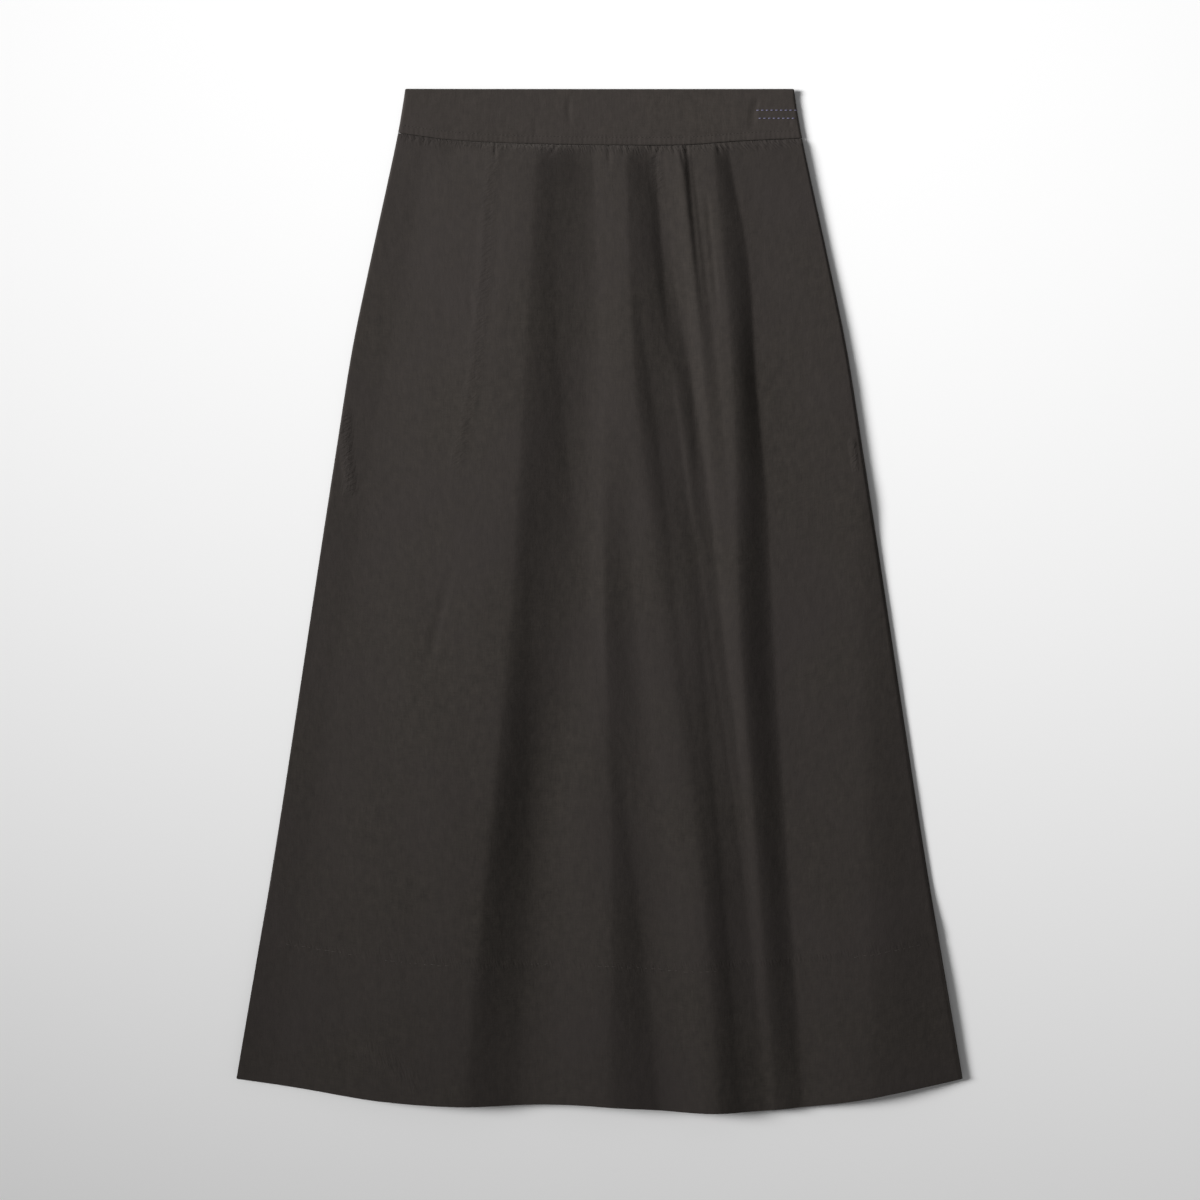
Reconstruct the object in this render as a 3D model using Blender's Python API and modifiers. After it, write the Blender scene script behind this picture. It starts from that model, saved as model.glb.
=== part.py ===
"""A gathered A-line skirt, laid flat on its back with its front facing up.

Units are metres and +Z is up. The skirt lies on the plane z = 0 with its waist towards +Y.
The origin is on that plane, under the middle of the skirt's outline.
Depth means the distance down the skirt from the straight top edge of its waistband.
"""

import math
from collections import namedtuple

import bpy

# ---------------------------------------------------------------- driving sizes

LENGTH = 0.888            # top of the waistband to the lowest point of the hem
HALF_HEM = 0.3154         # half the width across the two corners of the hem
HALF_WAIST = 0.1687       # half the width along the top of the waistband
CLOTH = 0.0012            # one layer of the skirt cloth
BAND = 0.0020             # the waistband: folded cloth round an interfacing
GAP = 0.0003              # air between pieces that are sewn or that lie together
HEM_TURN = 0.123          # depth of the turned-up hem, from its stitching to its edge
HEM_STITCH = LENGTH - HEM_TURN
TUCK = 0.0010             # how far the hidden back stays inside the front's outline

# half the flat width at each depth, down either side seam
SIDE_SEAM = (
    (0.000, HALF_WAIST), (0.040, 0.1755), (0.148, 0.1988), (0.2265, 0.2150),
    (0.3135, 0.2288), (0.4005, 0.2423), (0.6615, 0.2820), (0.860, HALF_HEM),
)
# x across the skirt and the depth of the seam under the waistband
WAIST_SEAM = (
    (-0.1755, 0.0380), (-0.130, 0.0441), (-0.070, 0.0474), (0.030, 0.0490),
    (0.080, 0.0484), (0.120, 0.0454), (0.1755, 0.0428),
)
HALF_WAIST_SEAM = WAIST_SEAM[-1][0]
MIDDLE_SEAM = 0.0486      # depth of the waist seam on the skirt's middle line
# x across the skirt and the depth of the hem's edge
HEM_LINE = (
    (-HALF_HEM, 0.8600), (-0.260, 0.8678), (-0.190, 0.8785), (-0.120, 0.8826),
    (-0.030, 0.8810), (0.030, 0.8842), (0.087, LENGTH), (0.150, 0.8862),
    (0.210, 0.8800), (0.270, 0.8692), (HALF_HEM, 0.8600),
)

# ---------------------------------------------------------------- folds of the front

# A ridge of cloth that runs from the waist to the hem.
# crest: x of its top line, and lift: how far it stands up, each at the waist seam, at a quarter,
# half and three quarters of the way down, and at the hem.
# rise and fall: the widths of its left and right flanks at the waist, half way and at the hem.
# top and foot shape the right flank there: 1 is crisp and 2 or more is soft.
Ridge = namedtuple("Ridge", "name crest lift rise fall top foot")
RIDGES = (
    Ridge("left_panel", (-0.130, -0.150, -0.160, -0.175, -0.190), (0.001, 0.001, 0.002, 0.002, 0.002),
          (0.110, 0.110, 0.110), (0.100, 0.100, 0.100), (2.0, 2.0, 2.0), (2.0, 2.0, 2.0)),
    Ridge("middle_lift", (0.025, 0.025, 0.025, 0.025, 0.025), (0.001, 0.003, 0.005, 0.006, 0.006),
          (0.150, 0.175, 0.200), (0.130, 0.150, 0.170), (2.0, 2.0, 2.0), (2.0, 2.0, 2.0)),
    Ridge("left_fold", (-0.055, -0.066, -0.078, -0.098, -0.116), (0.011, 0.0135, 0.017, 0.017, 0.011),
          (0.080, 0.130, 0.150), (0.050, 0.076, 0.078), (1.5, 1.5, 1.4), (1.4, 2.6, 3.2)),
    Ridge("middle_fold", (0.000, 0.002, 0.005, 0.010, 0.007), (0.000, 0.0005, 0.007, 0.008, 0.009),
          (0.050, 0.065, 0.080), (0.030, 0.031, 0.084), (1.5, 1.4, 1.4), (2.2, 2.2, 2.5)),
    Ridge("right_fold", (0.020, 0.027, 0.057, 0.087, 0.100), (0.0080, 0.009, 0.0080, 0.0115, 0.010),
          (0.065, 0.065, 0.065), (0.035, 0.034, 0.044), (1.2, 1.5, 1.7), (1.1, 1.4, 1.7)),
    Ridge("short_fold", (0.045, 0.066, 0.097, 0.125, 0.145), (0.000, 0.0045, 0.0040, 0.001, 0.000),
          (0.020, 0.024, 0.024), (0.018, 0.015, 0.020), (1.7, 1.7, 1.7), (1.4, 1.5, 1.5)),
    Ridge("upper_pleat", (0.068, 0.0905, 0.106, 0.116, 0.126), (0.0042, 0.0030, 0.000, 0.000, 0.000),
          (0.024, 0.024, 0.024), (0.010, 0.015, 0.016), (1.4, 1.4, 1.4), (1.4, 1.4, 1.4)),
    Ridge("deep_fold", (0.098, 0.117, 0.122, 0.138, 0.156), (0.0050, 0.0090, 0.0100, 0.0090, 0.006),
          (0.032, 0.032, 0.028), (0.013, 0.030, 0.029), (1.4, 1.6, 1.6), (1.2, 1.5, 1.7)),
    Ridge("right_panel", (0.200, 0.220, 0.229, 0.233, 0.237), (0.000, 0.001, 0.002, 0.007, 0.008),
          (0.060, 0.080, 0.080), (0.020, 0.030, 0.080), (1.8, 1.8, 1.8), (1.8, 1.8, 1.8)),
)
LEFT_FLANK = 1.4          # shapes every left flank, a long slope with soft ends
SEAM_SHARE = 0.12         # share of its lift that a ridge has where the waist seam holds it down
SEAM_REACH = 0.030        # distance below the seam at which it has its whole lift
STEP_REACH = 0.060        # distance in which the front comes down from a thicker stack of layers
EDGE_REACH = 0.035        # distance from a side seam, at the hem, at which it has its whole lift

# The small gathers that the waist seam draws up, in runs along the seam.
# first, last: x of the run's two ends. height and length: of each gather in it.
GatherRun = namedtuple("GatherRun", "first last count height length")
GATHERS = (
    GatherRun(-0.160, -0.142, 3, 0.0007, 0.018),
    GatherRun(-0.098, -0.040, 9, 0.0016, 0.026),
    GatherRun(-0.004, 0.022, 4, 0.0008, 0.032),
    GatherRun(0.044, 0.070, 5, 0.0015, 0.026),
    GatherRun(0.078, 0.098, 4, 0.0015, 0.024),
    GatherRun(0.108, 0.168, 10, 0.0012, 0.020),
)
GATHER_HALF = 0.42        # half a gather's width, as a share of the run's pitch
GATHER_WANDER = 0.22      # how far it strays from its even place, as a share of the pitch
GATHER_SWELL = 0.25       # how much larger or smaller than the others it is, as a share
Gather = namedtuple("Gather", "x half height length")
GATHER_RISE = 0.004       # distance below the seam at which a gather is at its highest

# The front's points stand in columns and rows.
WIDEST_COLUMN = 0.0055    # most that two columns stand apart at the waist
CLOSEST_COLUMN = 0.0007   # least that they stand apart there

# distances of the rows below the waist seam, down to the hem's stitching
FRONT_ROWS = (
    0.000, 0.003, 0.007, 0.012, 0.019, 0.030, 0.050, 0.080, 0.120, 0.165, 0.210, 0.255,
    0.300, 0.350, 0.420, 0.490, 0.560, 0.620, 0.680,
)
BACK_ROWS = (0.000, 0.050, 0.100, 0.150, 0.220, 0.300, 0.400, 0.500, 0.600)
BACK_COLUMNS = 24
HEM_ROW = 0.0015          # from the hem's stitching to the row on either side of it

# Each pocket bag hangs inside the front, from the waist seam, sewn into the side seam.
POCKET_TOP = 0.0485       # depth of the bag's upper edge
POCKET_FOOT = 0.340       # depth of the bag's lower edge
POCKET_TOP_WIDTH = 0.084
POCKET_FOOT_WIDTH = 0.104
POCKET_CORNER = 0.018     # radius of the bag's lower corner away from the seam
POCKET_MARGIN = 0.015     # the front stays at the bag's height this far past its lower edge

# the waistband's points stand in columns and rows too
BAND_COLUMNS = 28
BAND_ROWS = 3


# ---------------------------------------------------------------- curves through tables

def along(table, at):
    """The value at a place, on a smooth curve through a table of (place, value) rows."""
    if at <= table[0][0]:
        return table[0][1]
    if at >= table[-1][0]:
        return table[-1][1]
    i = next(k for k in range(len(table) - 1) if table[k + 1][0] >= at)

    def slope(k):
        if k == 0:
            return (table[1][1] - table[0][1]) / (table[1][0] - table[0][0])
        if k == len(table) - 1:
            return (table[k][1] - table[k - 1][1]) / (table[k][0] - table[k - 1][0])
        return (table[k + 1][1] - table[k - 1][1]) / (table[k + 1][0] - table[k - 1][0])

    (x0, y0), (x1, y1) = table[i], table[i + 1]
    span = x1 - x0
    t = (at - x0) / span
    return ((1 + 2 * t) * (1 - t) ** 2 * y0 + t * (1 - t) ** 2 * span * slope(i)
            + t * t * (3 - 2 * t) * y1 + t * t * (t - 1) * span * slope(i + 1))


def down_skirt(values, v):
    """A value that is given at even steps from waist to hem, read at the share v of the way."""
    last = len(values) - 1
    return along(tuple((k / last, value) for k, value in enumerate(values)), v)


def ease(start, end, at):
    """0 up to start, 1 past end, and a soft step between them."""
    t = min(1.0, max(0.0, (at - start) / (end - start)))
    return t * t * (3 - 2 * t)


def mix(a, b, t):
    return a + (b - a) * t


# ---------------------------------------------------------------- the front's surface

def across_and_down(u, v, inset=0.0):
    """x and depth of a point of a panel. u runs from -1 at the left side seam to 1 at the right
    one, and v from 0 at the waist seam to 1 at the hem."""
    waist_x = u * HALF_WAIST_SEAM
    seam = along(WAIST_SEAM, waist_x) + GAP
    hem = along(HEM_LINE, u * HALF_HEM) - inset
    left, right = WAIST_SEAM[0][1], WAIST_SEAM[-1][1]
    side_depth = mix(mix(left, right, (u + 1) / 2), SIDE_SEAM[-1][0], v)
    return u * (along(SIDE_SEAM, side_depth) - inset), mix(seam, hem, v)


def ridge_height(ridge, x, v):
    """How far one ridge lifts the cloth at a point."""
    off = x - down_skirt(ridge.crest, v)
    lift = down_skirt(ridge.lift, v)
    if off < 0:
        s = min(1.0, -off / down_skirt(ridge.rise, v))
        return lift * (1 - s ** LEFT_FLANK) ** LEFT_FLANK
    s = min(1.0, off / down_skirt(ridge.fall, v))
    return lift * (1 - s ** down_skirt(ridge.top, v)) ** down_skirt(ridge.foot, v)


def gather_list():
    """Each gather in turn, unevenly spaced and of uneven size."""
    found = []
    for number, run in enumerate(GATHERS):
        pitch = (run.last - run.first) / (run.count - 1)
        for k in range(run.count):
            wander = GATHER_WANDER * math.sin(2.4 * k + number)
            swell = 1 + GATHER_SWELL * math.sin(1.7 * k + 2 * number)
            found.append(Gather(run.first + (k + wander) * pitch, GATHER_HALF * pitch,
                                run.height * swell, run.length * swell))
    return found


def gather_height(x_at_seam, below):
    """How far the gathers lift the cloth, at a distance below the waist seam."""
    total = 0.0
    for gather in gather_list():
        s = abs(x_at_seam - gather.x) / gather.half
        if s < 1 and below < gather.length:
            fade = ease(0.0, GATHER_RISE, below) * (1 - below / gather.length)
            total += gather.height * (1 - s * s) * fade
    return total


def share_down(distance):
    """The share of the way from waist seam to hem that a distance below the seam is."""
    return distance / (LENGTH - MIDDLE_SEAM)


def resting_height(depth, v):
    """Height of the front's outer face where it lies flat on the layers below it."""
    over_pocket = CLOTH * 3 + GAP * 2
    over_back = CLOTH * 2 + GAP
    over_hem = CLOTH * 4 + GAP
    below_pocket = ease(POCKET_FOOT + POCKET_MARGIN, POCKET_FOOT + STEP_REACH, depth)
    hem = HEM_STITCH - MIDDLE_SEAM
    onto_hem = ease(share_down(hem - STEP_REACH), share_down(hem - 2 * HEM_ROW), v)
    return mix(mix(over_pocket, over_back, below_pocket), over_hem, onto_hem)


def front_point(u, v):
    """A point of the front's outer face."""
    x, depth = across_and_down(u, v)
    x_seam, seam = across_and_down(u, 0.0)
    free = ease(0.0, EDGE_REACH, (1 - abs(u)) * HALF_HEM)
    free *= mix(SEAM_SHARE, 1.0, ease(0.0, SEAM_REACH, depth - seam))
    z = resting_height(depth, v) + free * sum(ridge_height(ridge, x, v) for ridge in RIDGES)
    return x, LENGTH / 2 - depth, z + gather_height(x_seam, depth - seam)


# ---------------------------------------------------------------- building pieces

def clear_scene():
    for item in list(bpy.data.objects):
        bpy.data.objects.remove(item, do_unlink=True)


def cloth_material(name, colour, roughness):
    material = bpy.data.materials.new(name)
    material.use_nodes = True
    shader = material.node_tree.nodes["Principled BSDF"]
    shader.inputs["Base Color"].default_value = (*colour, 1.0)
    shader.inputs["Roughness"].default_value = roughness
    return material


def cloth_sheet(name, us, vs, place, material, wall, grow=-1, double=None):
    """A piece of cloth: a grid with a point for each u and v, put where place(u, v) says, then
    given its wall. grow -1 adds the wall under the sheet and 1 adds it on top. double(u, v) is
    true where the cloth is turned back on itself, so that its wall has two layers."""
    bpy.ops.mesh.primitive_grid_add(x_subdivisions=len(us) - 1, y_subdivisions=len(vs) - 1, size=1)
    piece = bpy.context.object
    piece.name = piece.data.name = name
    doubled = []
    for vertex in piece.data.vertices:
        u = us[round((vertex.co.x + 0.5) * (len(us) - 1))]
        v = vs[round((0.5 - vertex.co.y) * (len(vs) - 1))]
        vertex.co = place(u, v)
        if double and double(u, v):
            doubled.append(vertex.index)
    skin = piece.modifiers.new("wall", "SOLIDIFY")
    skin.thickness = wall
    skin.offset = grow
    if double:
        skin.thickness = 2 * wall
        piece.vertex_groups.new(name="turned back").add(doubled, 1.0, "REPLACE")
        skin.vertex_group = "turned back"
        skin.thickness_vertex_group = 0.5
    piece.data.materials.append(material)
    piece.data.shade_smooth()
    move_to_collection(piece)
    return piece


def move_to_collection(piece):
    for holder in list(piece.users_collection):
        holder.objects.unlink(piece)
    SKIRT.objects.link(piece)


def even(count):
    """count + 1 shares from 0 to 1."""
    return [k / count for k in range(count + 1)]


def front_columns():
    """u of each column of the front's points: on the crest and feet of every gather, with the
    wider spaces between them filled evenly."""
    marks = {HALF_WAIST_SEAM}
    for gather in gather_list():
        marks.update((gather.x - gather.half, gather.x, gather.x + gather.half))
    columns = [-HALF_WAIST_SEAM]
    for mark in sorted(marks):
        start = columns[-1]
        if mark - start > CLOSEST_COLUMN:
            steps = math.ceil((mark - start) / WIDEST_COLUMN)
            columns += [mix(start, mark, (k + 1) / steps) for k in range(steps)]
    return [x / HALF_WAIST_SEAM for x in columns]


# ---------------------------------------------------------------- the pieces

def panel_rows(distances, below_stitch):
    """v of each row of a panel: those given, one on each side of the stitching that holds the
    turned-up hem, and evenly spaced ones below it."""
    stitch = HEM_STITCH - MIDDLE_SEAM
    first, last = share_down(stitch + HEM_ROW), 1.0
    rows = [share_down(d) for d in distances] + [share_down(stitch - HEM_ROW)]
    return rows + [mix(first, last, t) for t in even(below_stitch)]


def in_hem(u, v):
    """True where a panel is doubled by its turned-up hem."""
    return v > share_down(HEM_STITCH - MIDDLE_SEAM)


def front_panel(material):
    """The gathered front, cut in one piece, with its hem turned up inside."""
    rows = panel_rows(FRONT_ROWS, 3)
    return cloth_sheet("front_panel", front_columns(), rows, front_point, material, CLOTH, double=in_hem)


def back_panel(material):
    """The back, cut like the front and lying flat under it."""
    def place(u, v):
        x, depth = across_and_down(u, v, TUCK)
        return x, LENGTH / 2 - depth, 0.0

    columns = [2 * t - 1 for t in even(BACK_COLUMNS)]
    rows = panel_rows(BACK_ROWS, 2)
    return cloth_sheet("back_panel", columns, rows, place, material, CLOTH, grow=1, double=in_hem)


def waistband(name, material, bottom, inset):
    """One half of the waistband, folded along its straight top edge."""
    def place(u, v):
        depth = mix(inset, along(WAIST_SEAM, u * HALF_WAIST_SEAM), v)
        end = mix(WAIST_SEAM[0][1], WAIST_SEAM[-1][1], (u + 1) / 2)
        return u * (along(SIDE_SEAM, v * end) - inset), LENGTH / 2 - depth, bottom

    columns = [2 * t - 1 for t in even(BAND_COLUMNS)]
    band = cloth_sheet(name, columns, even(BAND_ROWS), place, material, BAND, grow=1)
    edges = band.modifiers.new("rolled edges", "BEVEL")
    edges.width = BAND / 4
    edges.segments = 2
    edges.limit_method = "ANGLE"
    return band


def pocket_bag(name, side, material):
    """One pocket bag, side -1 on the left and 1 on the right. Its side edge follows the side
    seam, and the lower corner away from the seam is round."""
    def place(t, v):
        depth = mix(POCKET_TOP, POCKET_FOOT, v)
        into_corner = max(0.0, depth - POCKET_FOOT + POCKET_CORNER)
        width = mix(POCKET_TOP_WIDTH, POCKET_FOOT_WIDTH, v)
        width += math.sqrt(POCKET_CORNER ** 2 - into_corner ** 2) - POCKET_CORNER
        from_seam = width * (1 - t) if side > 0 else width * t
        x = along(SIDE_SEAM, depth) - TUCK - from_seam
        return side * x, LENGTH / 2 - depth, CLOTH + GAP

    corner = POCKET_CORNER / (POCKET_FOOT - POCKET_TOP)
    rows = [(1 - corner) * t for t in even(7)]
    rows += [1 - corner + corner * math.sin(t * math.pi / 2) for t in even(4)[1:]]
    return cloth_sheet(name, even(5), rows, place, material, CLOTH, grow=1)


clear_scene()
SKIRT = bpy.data.collections.new("gathered_skirt")
bpy.context.scene.collection.children.link(SKIRT)

cloth = cloth_material("charcoal brown cotton", (0.046, 0.040, 0.036), 0.85)
lining = cloth_material("pocket cotton", (0.040, 0.036, 0.033), 0.9)

front_panel(cloth)
back_panel(cloth)
waistband("back_waistband", cloth, 0.0, TUCK)
waistband("front_waistband", cloth, BAND + GAP, 0.0)
pocket_bag("left_pocket_bag", -1, lining)
pocket_bag("right_pocket_bag", 1, lining)
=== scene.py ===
"""The looks of a gathered A-line skirt in charcoal brown cotton, laid flat with its front up.

Units are metres, +Z is up, the waist is towards +Y and the skirt lies on z = 0. Depth means the
distance down the skirt from the straight top edge of its waistband.
"""

import math
from collections import namedtuple

import bpy
import numpy as np
from mathutils import Matrix, Vector


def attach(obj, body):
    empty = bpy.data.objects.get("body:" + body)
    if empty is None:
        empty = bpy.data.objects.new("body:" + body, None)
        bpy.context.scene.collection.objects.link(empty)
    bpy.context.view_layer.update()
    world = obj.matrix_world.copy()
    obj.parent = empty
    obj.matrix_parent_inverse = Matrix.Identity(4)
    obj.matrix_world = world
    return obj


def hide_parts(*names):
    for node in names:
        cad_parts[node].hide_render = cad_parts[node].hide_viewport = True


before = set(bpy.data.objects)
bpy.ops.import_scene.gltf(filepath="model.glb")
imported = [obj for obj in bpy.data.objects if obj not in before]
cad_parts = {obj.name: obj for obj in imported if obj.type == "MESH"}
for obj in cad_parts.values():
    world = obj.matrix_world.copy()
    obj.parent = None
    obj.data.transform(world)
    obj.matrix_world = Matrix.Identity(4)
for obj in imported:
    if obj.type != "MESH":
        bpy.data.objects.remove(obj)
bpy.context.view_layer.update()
bpy.ops.object.select_all(action="DESELECT")

# ================================================================ back panel
# The back of the skirt is one wide piece of plain-weave cotton, cut like the front, gathered
# into the waistband and with its hem turned up inside and sewn by hand. It lies on its face under
# everything else. Where the front stands up in folds, it is drawn up a little under them.

LENGTH = 0.888            # top of the waistband to the lowest point of the hem
HALF_HEM = 0.3154         # half the width across the two corners of the hem
HALF_WAIST = 0.1687       # half the width along the top of the waistband
WALL = 0.0008             # one layer of the cotton
GAP = 0.0003              # air between pieces that are sewn or that lie together
HEM_BEND = 0.0010         # radius of the fold along the hem's edge
HEM_TURN = 0.123          # depth of the turned-up hem, from its stitching to its edge
TUCK = 0.0010             # how far the hidden back stays inside the front's outline
STACK_PLAIN = 0.0027      # height of the front's face over the back alone
STACK_POCKET = 0.0042     # over a pocket bag and the back
STACK_HEM = 0.0051        # over both turned-up hems

# half the flat width at each depth, down either side seam
SIDE_SEAM = (
    (0.000, HALF_WAIST), (0.040, 0.1755), (0.148, 0.1988), (0.2265, 0.2150),
    (0.3135, 0.2288), (0.4005, 0.2423), (0.6615, 0.2820), (0.860, HALF_HEM),
)
# x across the skirt and the depth of the seam under the waistband
WAIST_SEAM = (
    (-0.1755, 0.0380), (-0.130, 0.0441), (-0.070, 0.0474), (0.030, 0.0490),
    (0.080, 0.0484), (0.120, 0.0454), (0.1755, 0.0428),
)
HALF_WAIST_SEAM = WAIST_SEAM[-1][0]
MIDDLE_SEAM = 0.0486      # depth of the waist seam on the skirt's middle line
# x across the skirt and the depth of the hem's edge
HEM_LINE = (
    (-HALF_HEM, 0.8600), (-0.260, 0.8678), (-0.190, 0.8785), (-0.120, 0.8826),
    (-0.030, 0.8810), (0.030, 0.8842), (0.087, LENGTH), (0.150, 0.8862),
    (0.210, 0.8800), (0.270, 0.8692), (HALF_HEM, 0.8600),
)
PANEL = LENGTH - MIDDLE_SEAM            # a panel's length down its middle, from seam to hem
HEM_STITCH = 1 - HEM_TURN / PANEL       # share of the way down at which the hem is stitched
HEM_EDGE = 1 - HEM_BEND / PANEL         # and at which its fold begins

# A long fold of cloth from the waist to the hem, each row of its values at even steps between
# the two. crest: x of its top line. lift: how far it stands up. rise and fall: the widths of its
# left and right flanks. top and foot shape its right flank: 1 is crisp and 2 or more is soft.
Ridge = namedtuple("Ridge", "name crest lift rise fall top foot")
RIDGES = (
    Ridge("left_panel", (-0.135, -0.150, -0.160, -0.175, -0.190), (0.002, 0.0018, 0.0016, 0.0018, 0.002),
          (0.060, 0.090, 0.110), (0.100, 0.100, 0.100), (2.0, 2.0, 2.0), (2.0, 2.0, 2.0)),
    Ridge("middle_lift", (0.025, 0.025, 0.025, 0.025, 0.025), (0.001, 0.003, 0.005, 0.006, 0.006),
          (0.150, 0.175, 0.200), (0.130, 0.150, 0.170), (2.0, 2.0, 2.0), (2.0, 2.0, 2.0)),
    Ridge("left_fold", (-0.055, -0.066, -0.078, -0.099, -0.118), (0.0115, 0.0150, 0.017, 0.0164, 0.011),
          (0.095, 0.145, 0.165), (0.050, 0.068, 0.076, 0.072, 0.090), (1.5, 1.5, 1.4),
          (1.4, 1.8, 2.6, 2.9, 2.6)),
    Ridge("middle_fold", (0.000, 0.002, 0.004, 0.010, 0.008), (0.000, 0.0008, 0.0078, 0.0092, 0.0092),
          (0.050, 0.065, 0.080), (0.030, 0.030, 0.032, 0.055, 0.078), (1.5, 1.4, 1.4), (2.2, 2.2, 1.9)),
    Ridge("right_fold", (0.0225, 0.0305, 0.0575, 0.0875, 0.1025), (0.0062, 0.0102, 0.0087, 0.0126, 0.0112),
          (0.065, 0.065, 0.052), (0.025, 0.034, 0.037, 0.037, 0.045), (1.2, 1.5, 2.1, 1.8, 1.7),
          (1.1, 1.3, 1.25, 1.4, 1.6)),
    Ridge("short_fold", (0.040, 0.0475, 0.0655, 0.0803, 0.0915, 0.107, 0.120, 0.131, 0.140),
          (0.000, 0.0018, 0.0050, 0.0049, 0.0043, 0.0030, 0.0012, 0.0004, 0.000),
          (0.020, 0.024, 0.024), (0.017, 0.016, 0.016, 0.010, 0.012), (1.7, 1.7, 1.7), (1.4, 1.5, 1.5)),
    Ridge("upper_pleat", (0.0690, 0.0910, 0.106, 0.116, 0.126), (0.0042, 0.0030, 0.000, 0.000, 0.000),
          (0.024, 0.024, 0.024), (0.010, 0.015, 0.016), (1.4, 1.4, 1.4), (1.4, 1.4, 1.4)),
    Ridge("deep_fold", (0.0980, 0.1155, 0.1215, 0.137, 0.1525),
          (0.0036, 0.0060, 0.0082, 0.0087, 0.0091, 0.0088, 0.0084, 0.0070, 0.0048),
          (0.037, 0.034, 0.030), (0.0125, 0.0222, 0.0205, 0.0275, 0.0300, 0.0290, 0.0270, 0.0260, 0.0245),
          (1.4, 1.7, 1.6, 1.6, 1.6), (1.2, 1.2, 1.6, 1.5, 1.2)),
    Ridge("right_panel", (0.200, 0.220, 0.226, 0.232, 0.238), (0.0014, 0.0019, 0.0032, 0.0066, 0.0086),
          (0.085, 0.095, 0.090), (0.020, 0.035, 0.085), (1.8, 1.6, 1.4), (1.8, 1.6, 1.4)),
)
LEFT_FLANK = 1.4          # shapes every fold's left flank, a long slope with soft ends
SEAM_SHARE = 0.14         # share of its lift that a fold has where the waist seam holds it down
SEAM_REACH = 0.020        # distance below the seam at which it has its whole lift
EDGE_REACH = 0.004        # distance from a side seam, at the hem, at which it has its whole lift
BACK_SHARE = 0.28         # how far the back is drawn up, as a share of the front's folds
BACK_DULL = 0.002         # lift of the front that the back doesn't follow
BACK_GATHERS = 0.4        # height of the back's gathers, as a share of the front's
BACK_GATHER_REACH = 0.04  # distance below the seam at which they have died away
TURN_IN = 0.014           # how much narrower a turned-up layer is than the cloth over it

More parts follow.
